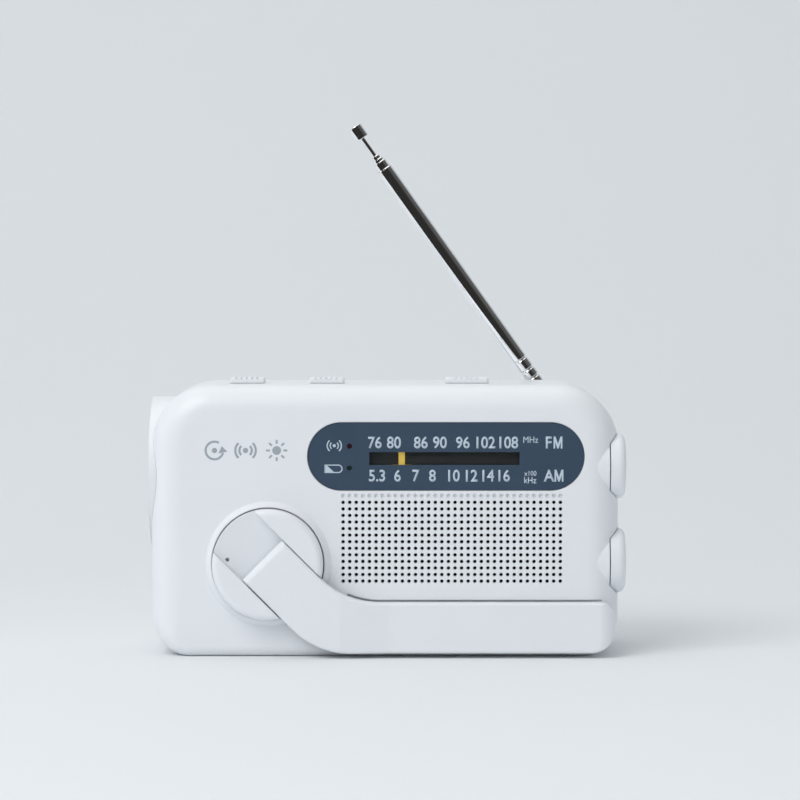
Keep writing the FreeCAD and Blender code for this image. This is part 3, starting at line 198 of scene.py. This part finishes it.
def metal(name, colour, roughness, grain=0.15, depth=0.001, tarnish=0.06, metallic=1.0):
    """Metal with fine tool marks and uneven polish."""
    n = Nodes(name)
    lines = n.noise(grain * MM, 4, 0.7)
    stain = n.noise(6 * MM, 4, 0.6)
    base = n.shade(colour, n.ramp(stain, 0.3, 0.75, 1 + tarnish, 1 - tarnish))
    rough = n.math("ADD", n.ramp(lines, 0.3, 0.7, roughness * 0.7, roughness * 1.3),
                   n.ramp(stain, 0.5, 0.8, 0, roughness * 0.5))
    normal = n.bump(lines, depth * MM, n.rounded(0.1 * MM))
    return n.finish(n.principled(
        Base_Color=base, Metallic=metallic, Roughness=rough, Normal=normal,
    ))


def clear(name, tint, haze=0.03):
    """A thin clear window: it lets light straight through and reflects at its surface."""
    n = Nodes(name)
    through = n.add("ShaderNodeBsdfTransparent")
    gloss = n.add("ShaderNodeBsdfGlossy")
    n.feed(gloss.inputs["Color"], (0.5, 0.52, 0.55))
    n.feed(gloss.inputs["Roughness"], n.ramp(n.noise(5 * MM, 4, 0.7), 0.4, 0.7, haze, haze * 3))
    fresnel = n.add("ShaderNodeFresnel")
    n.feed(fresnel.inputs["IOR"], 1.45)
    n.feed(gloss.inputs["Normal"], n.bump(n.noise(8 * MM, 2), 0.004 * MM))
    shadow = n.add("ShaderNodeLightPath").outputs["Is Shadow Ray"]
    n.feed(through.inputs["Color"], n.mix(shadow, tint, (1, 1, 1)))
    # the pane is not refracting, so its back faces must not mirror steep rays
    back = n.add("ShaderNodeNewGeometry").outputs["Backfacing"]
    mirrors = n.math("SUBTRACT", 1.0, n.math("MAXIMUM", shadow, back))
    return n.finish(n.blend(
        n.math("MULTIPLY", fresnel.outputs[0], mirrors), through.outputs[0], gloss.outputs[0]
    ))


def lamp(name, colour, glow):
    """A tinted epoxy lens, darker towards its rim."""
    n = Nodes(name)
    facing = n.add("ShaderNodeLayerWeight")
    n.feed(facing.inputs["Blend"], 0.4)
    base = n.mix(facing.outputs["Facing"], colour, tuple(c * 0.4 for c in colour))
    rough = n.ramp(n.noise(0.6 * MM), 0.3, 0.7, 0.08, 0.2)
    return n.finish(n.principled(
        Base_Color=base, Roughness=rough, Coat_Weight=1.0, Coat_Roughness=0.05,
        Emission_Color=colour, Emission_Strength=glow,
        Normal=n.bump(n.noise(0.8 * MM), 0.01 * MM),
    ))


def cloth(name, colour):
    """A plain weave seen through the grille."""
    n = Nodes(name)
    threads = []
    for direction in ("X", "Z"):
        wave = n.add("ShaderNodeTexWave", bands_direction=direction, wave_profile="SIN")
        n.feed(wave.inputs["Vector"], n.place)
        n.feed(wave.inputs["Scale"], 0.5 / (0.4 * MM))
        threads.append(wave.outputs["Fac"])
    weave = n.math("MULTIPLY", *threads)
    base = n.shade(colour, n.ramp(weave, 0, 1, 0.5, 1.4))
    return n.finish(n.principled(
        Base_Color=base, Roughness=0.95, Sheen_Weight=0.2, Normal=n.bump(weave, 0.1 * MM)
    ))


def paper(name, colour):
    """Pressed pulp: fibres and a soft dull surface."""
    n = Nodes(name)
    fibres = n.noise(0.5 * MM, 6, 0.75)
    base = n.shade(colour, n.ramp(fibres, 0.3, 0.7, 0.7, 1.3))
    return n.finish(n.principled(
        Base_Color=base, Roughness=0.9, Normal=n.bump(fibres, 0.05 * MM)
    ))


def board(name, colour):
    """Solder mask over faint copper tracks."""
    n = Nodes(name)
    tracks = n.add("ShaderNodeTexBrick")
    n.feed(tracks.inputs["Vector"], n.place)
    n.feed(tracks.inputs["Scale"], 1 / (3 * MM))
    n.feed(tracks.inputs["Mortar Size"], 0.06)
    base = n.mix(tracks.outputs["Fac"], colour, tuple(c * 1.6 for c in colour))
    rough = n.ramp(n.noise(2 * MM, 3), 0.3, 0.7, 0.3, 0.45)
    return n.finish(n.principled(
        Base_Color=base, Roughness=rough, Normal=n.bump(tracks.outputs["Fac"], 0.02 * MM)
    ))


def winding(name, colour):
    """Enamelled wire laid side by side."""
    n = Nodes(name)
    wire = n.add("ShaderNodeTexWave", bands_direction="X", wave_profile="SIN")
    n.feed(wire.inputs["Vector"], n.place)
    n.feed(wire.inputs["Scale"], 0.5 / (0.3 * MM))
    n.feed(wire.inputs["Distortion"], 0.3)
    base = n.shade(colour, n.ramp(wire.outputs["Fac"], 0, 1, 0.6, 1.15))
    return n.finish(n.principled(
        Base_Color=base, Metallic=0.9, Roughness=0.3, Normal=n.bump(wire.outputs["Fac"], 0.1 * MM)
    ))


# ---------------------------------------------------------------- finishes

WHITE = (0.85, 0.87, 0.895)
GREY = (0.42, 0.44, 0.47)
SLATE = (0.044, 0.079, 0.128)

FINISHES = {
    "case_white": plastic("case_white", WHITE, 0.36, grain=0.5, grain_depth=0.003, mottle=0.008,
                          edge=0.5, wear=0.15, worn=(0.86, 0.87, 0.88)),
    "grey_plastic": plastic("grey_plastic", GREY, 0.5, grain_depth=0.02, wear=0.3,
                            worn=(0.6, 0.61, 0.62)),
    "grey_rubber": plastic("grey_rubber", (0.35, 0.36, 0.38), 0.8, grain=0.4, grain_depth=0.03,
                           mottle=0.06, specular=0.2),
    "dial_slate": plastic("dial_slate", SLATE, 0.42, grain=0.3, grain_depth=0.002, mottle=0.03,
                          wear=0.3, worn=(0.15, 0.19, 0.23), coat=0.1),
    "clear_lens": clear("clear_lens", (0.93, 0.95, 0.96)),
    "black_plastic": plastic("black_plastic", (0.046, 0.046, 0.043), 0.55, grain_depth=0.02,
                             wear=0.5, worn=(0.07, 0.07, 0.07)),
    # the pointer's glow is painted light: it shines though it is no lamp
    "pointer_yellow": plastic("pointer_yellow", (0.84, 0.56, 0.10), 0.4, grain_depth=0.005,
                              mottle=0.04, glow=0.3),
    "red_lens": lamp("red_lens", (0.030, 0.009, 0.015), 0.05),
    "green_lens": lamp("green_lens", (0.011, 0.028, 0.026), 0.05),
    "steel": metal("steel", (0.55, 0.55, 0.56), 0.28, depth=0.004),
    "black_cloth": cloth("black_cloth", (0.02, 0.02, 0.021)),
    "paper_cone": paper("paper_cone", (0.035, 0.034, 0.033)),
    "gear_plastic": plastic("gear_plastic", (0.78, 0.75, 0.66), 0.45, grain_depth=0.01),
    "brass": metal("brass", (0.75, 0.53, 0.22), 0.22, depth=0.003),
    "copper": winding("copper", (0.70, 0.33, 0.16)),
    "reflector": metal("reflector", (0.93, 0.93, 0.94), 0.2, depth=0.001, tarnish=0.02,
                       metallic=0.6),
    "led_dome": lamp("led_dome", (0.85, 0.78, 0.40), 0.05),
    "board_green": board("board_green", (0.03, 0.14, 0.06)),
    "antenna_chrome": metal("antenna_chrome", (0.94, 0.95, 0.96), 0.07, grain=0.6, depth=0.0015,
                            tarnish=0.04),
    "ferrite": plastic("ferrite", (0.04, 0.037, 0.035), 0.6, grain=0.5, grain_depth=0.03,
                       mottle=0.15),
    "cell_wrap": plastic("cell_wrap", (0.07, 0.085, 0.10), 0.3, mottle=0.1, coat=0.5),
}

for row in frame["record"]["subparts"]:
    slots = nodes[row["node"]].data.materials
    slots.clear()
    slots.append(FINISHES[row["material_slot"]])


# ---------------------------------------------------------------- printed marks


def ink(name, colour):
    """Screen-printed ink: slightly raised, a little uneven in cover."""
    n = Nodes(name)
    cover = n.noise(0.25 * MM, 3, 0.6)
    base = n.shade(colour, n.ramp(cover, 0.3, 0.7, 0.94, 1.04))
    return n.finish(n.principled(
        Base_Color=base, Roughness=n.ramp(cover, 0.3, 0.7, 0.42, 0.6),
        Normal=n.bump(cover, 0.004 * MM),
    ))


class Print:
    """Flat marks on a face that looks along -Y, gathered into one mesh of thin slabs."""

    def __init__(self, name, colour, face):
        self.name = name
        self.colour = colour
        self.face = face
        self.mesh = bmesh.new()

    def outline(self, points):
        """A filled polygon given by (x, z) corners in millimetres."""
        near = [self.mesh.verts.new((x * MM, self.face - PRINT, z * MM)) for x, z in points]
        far = [self.mesh.verts.new((x * MM, self.face + PRINT / 3, z * MM)) for x, z in points]
        self.mesh.faces.new(near)
        self.mesh.faces.new(far[::-1])
        for i in range(len(points)):
            j = (i + 1) % len(points)
            self.mesh.faces.new((near[j], near[i], far[i], far[j]))

    def band(self, points, width, closed=False):
        """A ribbon of even width along (x, z) points."""
        left, right = [], []
        count = len(points)
        for i, (x, z) in enumerate(points):
            before = points[i - 1] if i or closed else points[i]
            after = points[(i + 1) % count] if i + 1 < count or closed else points[i]
            dx, dz = after[0] - before[0], after[1] - before[1]
            length = math.hypot(dx, dz)
            nx, nz = -dz / length * width / 2, dx / length * width / 2
            left.append((x + nx, z + nz))
            right.append((x - nx, z - nz))
        last = count if closed else count - 1
        for i in range(last):
            j = (i + 1) % count
            self.outline([left[i], left[j], right[j], right[i]])

    def dot(self, x, z, radius, sides=28):
        turns = [math.tau * i / sides for i in range(sides)]
        self.outline([(x + radius * math.cos(t), z + radius * math.sin(t)) for t in turns])

    def waves(self, x, z, core, radii, spread, width):
        """A dot between arcs that reach spread degrees to either side of the level."""
        self.dot(x, z, core)
        for radius in radii:
            for middle in (0, 180):
                self.band(arc(x, z, radius, middle - spread, middle + spread), width)

    def text(self, words, x, z, height, squeeze=0.89, weight=0.02):
        """Characters of one height in millimetres, centred on (x, z)."""
        curve = bpy.data.curves.new(self.name, "FONT")
        curve.body = words
        curve.align_x = "CENTER"
        curve.offset = weight
        curve.resolution_u = 5
        holder = bpy.data.objects.new(self.name + "_words", curve)
        bpy.context.scene.collection.objects.link(holder)
        bpy.context.view_layer.update()
        graph = bpy.context.evaluated_depsgraph_get()
        flat = bpy.data.meshes.new_from_object(holder.evaluated_get(graph))
        bpy.data.objects.remove(holder)
        letters = bmesh.new()
        letters.from_mesh(flat)
        bpy.data.meshes.remove(flat)
        bmesh.ops.remove_doubles(letters, verts=letters.verts, dist=1e-5)
        bottom = min(v.co.y for v in letters.verts)
        top = max(v.co.y for v in letters.verts)
        left = min(v.co.x for v in letters.verts)
        right = max(v.co.x for v in letters.verts)
        scale = height * MM / (top - bottom)
        for v in letters.verts:
            v.co = Vector((
                x * MM + (v.co.x - (left + right) / 2) * scale * squeeze,
                self.face - PRINT,
                z * MM + (v.co.y - (top + bottom) / 2) * scale,
            ))
        faces = bmesh.ops.extrude_face_region(letters, geom=letters.faces[:])
        for v in faces["geom"]:
            if isinstance(v, bmesh.types.BMVert):
                v.co.y = self.face + PRINT / 3
        bmesh.ops.recalc_face_normals(letters, faces=letters.faces[:])
        extra = bpy.data.meshes.new(self.name + "_part")
        letters.to_mesh(extra)
        letters.free()
        self.mesh.from_mesh(extra)
        bpy.data.meshes.remove(extra)

    def letter_m(self, x, z, height, width, stroke):
        """A capital M in one outline, so that its strokes never overlap."""
        left, right = x - width / 2, x + width / 2
        low, high = z - height / 2, z + height / 2
        shoulder, foot = 1.2 * stroke, 0.4 * stroke
        crotch, armpit = low + 0.38 * height, low + 0.56 * height
        self.outline([
            (left, low), (left, high), (left + shoulder, high), (x, crotch),
            (right - shoulder, high), (right, high), (right, low), (right - stroke, low),
            (right - stroke, armpit), (x + foot, low), (x - foot, low),
            (left + stroke, armpit), (left + stroke, low),
        ])

    def done(self, body):
        """Makes the object and hands it to a body."""
        data = bpy.data.meshes.new(self.name)
        bmesh.ops.recalc_face_normals(self.mesh, faces=self.mesh.faces[:])
        self.mesh.to_mesh(data)
        self.mesh.free()
        data.materials.append(ink(self.name + "_ink", self.colour))
        piece = bpy.data.objects.new(self.name, data)
        bpy.context.scene.collection.objects.link(piece)
        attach(piece, body)


def arc(x, z, radius, start, end, steps=18):
    """Points along a circle from one angle to another, in degrees."""
    turns = [math.radians(start + (end - start) * i / steps) for i in range(steps + 1)]
    return [(x + radius * math.cos(t), z + radius * math.sin(t)) for t in turns]


panel_low, panel_high = (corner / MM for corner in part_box("dial_panel"))
panel_x = (panel_low.x + panel_high.x) / 2
panel_z = (panel_low.z + panel_high.z) / 2

# all in millimetres, with places along the dial measured from its middle
UPPER = panel_z + 3.95  # the FM scale's line
LOWER = panel_z - 5.45  # the AM scale's line
CAP = 3.4  # height of digits and capitals
M_WIDTH, M_STROKE = 2.5, 0.46
FM_SCALE = (
    ("76", -20.1), ("80", -14.7), ("86", -7.1), ("90", -1.7), ("96", 4.8), ("102", 11.3),
    ("108", 17.8), ("F", 29.1),
)
AM_SCALE = (
    ("5.3", -19.5), ("6", -13.7), ("7", -8.5), ("8", -3.8), ("10", 2.3), ("12", 7.3),
    ("14", 12.0), ("16", 16.5), ("A", 29.2),
)
# words, place along the dial, line, character height, weight
UNITS = (
    ("MHz", 24.0, UPPER + 0.8, 1.75, 0),
    ("x100", 23.9, LOWER + 0.65, 1.4, 0.012),
    ("kHz", 23.9, LOWER - 1.3, 1.75, 0.012),
)

dial = Print("dial_print", (0.56, 0.655, 0.745), PANEL)
for line, scale, m_place in ((UPPER, FM_SCALE, 31.7), (LOWER, AM_SCALE, 32.0)):
    for words, x in scale:
        dial.text(words, panel_x + x, line, CAP)
    dial.letter_m(panel_x + m_place, line, CAP, M_WIDTH, M_STROKE)
for words, x, z, height, weight in UNITS:
    dial.text(words, panel_x + x, z, height, weight=weight)

# a lamp label for tuning: a dot between two pairs of arcs
dial.waves(panel_x - 31.6, UPPER - 0.9, 0.45, (1.15, 2.0), 48, 0.34)

# a lamp label for the cells: an outlined cell with one round end, partly full
cell_x = panel_x - 32.0
cell_z = LOWER + 1.95
CELL_HALF_LENGTH, CELL_HALF_HEIGHT, CELL_NOSE, CELL_LINE = 2.3, 1.05, 0.75, 0.3
cell_back = cell_x - CELL_HALF_LENGTH
cell_neck = cell_x + CELL_HALF_LENGTH - CELL_NOSE
cell_low, cell_high = cell_z - CELL_HALF_HEIGHT, cell_z + CELL_HALF_HEIGHT
shell = [(cell_back, cell_low), (cell_neck, cell_low)]
shell += arc(cell_neck, cell_z, CELL_HALF_HEIGHT, -90, 90, 10)[1:-1]
shell += [(cell_neck, cell_high), (cell_back, cell_high)]
dial.band(shell, CELL_LINE, closed=True)
inset = CELL_LINE / 2
inside = cell_back + inset
dial.outline([
    (inside, cell_low + inset), (cell_x + 0.3, cell_low + inset),
    (inside + 0.5, cell_high - inset), (inside, cell_high - inset),
])
dial.done("case")

# generic pictograms on the case: winding by hand, radio waves and light
MARK_X, MARK_Z, MARK_STEP = -48.2, 58.6, 8.8  # the first one's middle, and the next one's distance
MARK_LINE, MARK_DOT = 0.62, 0.75  # line width and dot radius
TURN_RADIUS, TURN_START, TURN_END = 2.5, 60, 345  # the winding arrow's arc
SPOKES = 8
SPOKE_RADII = (1.9, 3.0)

marks = Print("front_marks", (0.38, 0.42, 0.46), FRONT)
turned = arc(MARK_X, MARK_Z, TURN_RADIUS, TURN_START, TURN_END, 30)
marks.band(turned, MARK_LINE)
tip_x, tip_z = turned[-1]
marks.outline([
    (tip_x - 1.3, tip_z - 0.2), (tip_x + 1.2, tip_z + 0.35), (tip_x - 0.35, tip_z + 1.9),
])
marks.dot(MARK_X, MARK_Z, MARK_DOT)
marks.waves(MARK_X + MARK_STEP, MARK_Z, MARK_DOT, (1.75, 2.9), 46, MARK_LINE)
sun_x = MARK_X + 2 * MARK_STEP
marks.dot(sun_x, MARK_Z, 1.25)
for spoke in range(SPOKES):
    angle = math.tau * spoke / SPOKES
    ray = [(sun_x + r * math.cos(angle), MARK_Z + r * math.sin(angle)) for r in SPOKE_RADII]
    marks.band(ray, 0.55)
marks.done("case")


# ---------------------------------------------------------------- studio

PAPER_NEAR, PAPER_SEAM, PAPER_FAR = -3.2, -0.1, 1.1  # front edge, seam in the floor, wall
PAPER_TOP, PAPER_SIDE = 3.0, 3.0  # the wall's top edge and half the width
PAPER_BEND, PAPER_STEPS = 0.9, 24  # the bend's radius, and its facets
PAPER_COLOUR = (0.843, 0.863, 0.876)


def stage_mesh(name, points, faces, surface):
    data = bpy.data.meshes.new(name)
    data.from_pydata(points, [], faces)
    for face in data.polygons:
        face.use_smooth = True
    data.materials.append(surface)
    thing = bpy.data.objects.new(name, data)
    bpy.context.scene.collection.objects.link(thing)
    return thing


def seamless():
    """Pale paper with painted shade towards the wall: floor, a wide bend and the wall behind;
    mirrors miss the part in front.
    """
    n = Nodes("studio_paper")
    cover = n.noise(0.3, 2)
    base = n.shade(PAPER_COLOUR, n.ramp(cover, 0.3, 0.7, 0.995, 1.005))
    split = n.add("ShaderNodeSeparateXYZ")
    n.feed(split.inputs[0], n.place)
    # painted shade: the paper darkens by a twentieth from the seam towards the wall
    base = n.shade(base, n.ramp(split.outputs["Y"], PAPER_SEAM, 0.5, 1.0, 0.95))
    card = n.principled(
        Base_Color=base, Roughness=0.75, Normal=n.bump(n.noise(1.2 * MM, 3), 0.01 * MM),
        Specular_IOR_Level=0.25,
    )
    # a camera behind the wall looks through it
    behind = n.math("MULTIPLY", n.add("ShaderNodeNewGeometry").outputs["Backfacing"],
                    n.add("ShaderNodeLightPath").outputs["Is Camera Ray"])
    gone = n.add("ShaderNodeBsdfTransparent").outputs[0]
    surface = n.finish(n.blend(behind, card, gone))
    apron = [(PAPER_NEAR, 0.0), (PAPER_SEAM, 0.0)]
    bend = PAPER_FAR - PAPER_BEND
    sweep = [(PAPER_SEAM, 0.0), (bend, 0.0)]
    for i in range(1, PAPER_STEPS + 1):
        turn = math.radians(90 * i / PAPER_STEPS)
        sweep.append(
            (bend + PAPER_BEND * math.sin(turn), PAPER_BEND - PAPER_BEND * math.cos(turn))
        )
    sweep.append((PAPER_FAR, PAPER_TOP))
    for name, profile in (("studio_apron", apron), ("studio_sweep", sweep)):
        points = [(x, y, z) for y, z in profile for x in (-PAPER_SIDE, PAPER_SIDE)]
        faces = [(2 * i, 2 * i + 1, 2 * i + 3, 2 * i + 2) for i in range(len(profile) - 1)]
        sheet = stage_mesh(name, points, faces, surface)
        sheet.visible_glossy = profile is sweep


def softbox(name, place, target, width, height, power, mirrored=True):
    """A soft light aimed at a place; mirrors may or may not see it."""
    data = bpy.data.lights.new(name, "AREA")
    data.shape = "RECTANGLE"
    data.size = width
    data.size_y = height
    data.energy = power
    thing = bpy.data.objects.new(name, data)
    thing.location = place
    thing.rotation_mode = "QUATERNION"
    thing.rotation_quaternion = (Vector(target) - Vector(place)).to_track_quat("-Z", "Y")
    thing.visible_glossy = mirrored
    bpy.context.scene.collection.objects.link(thing)


seamless()
softbox("key", (-0.64, -0.80, 0.97), (0, 0, 0.05), 0.95, 0.8, 8.5)
softbox("fill", (1.3, -1.2, 0.7), (0, 0, 0.05), 1.2, 1.2, 1.1, mirrored=False)
softbox("top", (0.0, 0.25, 1.5), (0, 0.1, 0.0), 1.6, 1.2, 5.3)

WORLD_STRENGTH = 0.74
WALL_COLOUR = (0.60, 0.63, 0.66)
WALL_SHADING = (-0.3, 0.9, 1.1, 0.68)  # from, to, brightness at each, along X
# what mirrors see, as (axis, from, to, brightness at each), added up
LEFT_PANEL = ("X", -0.93, -0.82, 1.5, 0.035)
RIGHT_WALL = ("X", 0.5, 0.9, 0, 0.14)
CEILING = ("Z", 0.6, 0.95, 0, 0.4)
MIRROR_TINT = (("Red", 1.0), ("Green", 0.97), ("Blue", 0.94))

world = bpy.data.worlds.new("studio")
bpy.context.scene.world = world
world.use_nodes = True
sky = Tree(world.node_tree)
axes = sky.add("ShaderNodeSeparateXYZ")
sky.feed(axes.inputs[0], sky.add("ShaderNodeTexCoord").outputs["Generated"])

# mirrors see a dark room, a tall bright panel to the left, a grey wall to the right and a
# pale ceiling
panel, wall, ceiling = (
    sky.ramp(axes.outputs[axis], *numbers) for axis, *numbers in (LEFT_PANEL, RIGHT_WALL, CEILING)
)
seen = sky.math("ADD", sky.math("ADD", panel, wall), ceiling)
room = sky.add("ShaderNodeCombineColor")
for channel, tint in MIRROR_TINT:  # each ramp multiplies by its tint
    sky.feed(room.inputs[channel], sky.ramp(seen, 0, 2, 0, 2 * tint))

# everything else is lit by plain walls that darken to the right
walls = sky.shade(WALL_COLOUR, sky.ramp(axes.outputs["X"], *WALL_SHADING))
mirrored = sky.add("ShaderNodeLightPath").outputs["Is Glossy Ray"]
background = sky.add("ShaderNodeBackground")
sky.feed(background.inputs["Color"], sky.mix(mirrored, walls, room.outputs[0]))
sky.feed(background.inputs["Strength"], WORLD_STRENGTH)
sky.feed(sky.add("ShaderNodeOutputWorld").inputs["Surface"], background.outputs[0])

# the photograph's view: from the front, from a little above the case, tipped down slightly
CAMERA_PLACE = (0.0043, FRONT - 1.0, 0.117)
CAMERA_PITCH = -2.525  # degrees

camera_data = bpy.data.cameras.new("camera")
camera_data.sensor_width = 36
camera_data.lens = 159.3
camera_data.clip_start = 0.05
camera_data.clip_end = 20
camera = bpy.data.objects.new("camera", camera_data)
camera.location = CAMERA_PLACE
camera.rotation_euler = (math.radians(90) + math.radians(CAMERA_PITCH), 0, 0)
bpy.context.scene.collection.objects.link(camera)
bpy.context.scene.camera = camera
bpy.context.scene.view_settings.view_transform = "Standard"
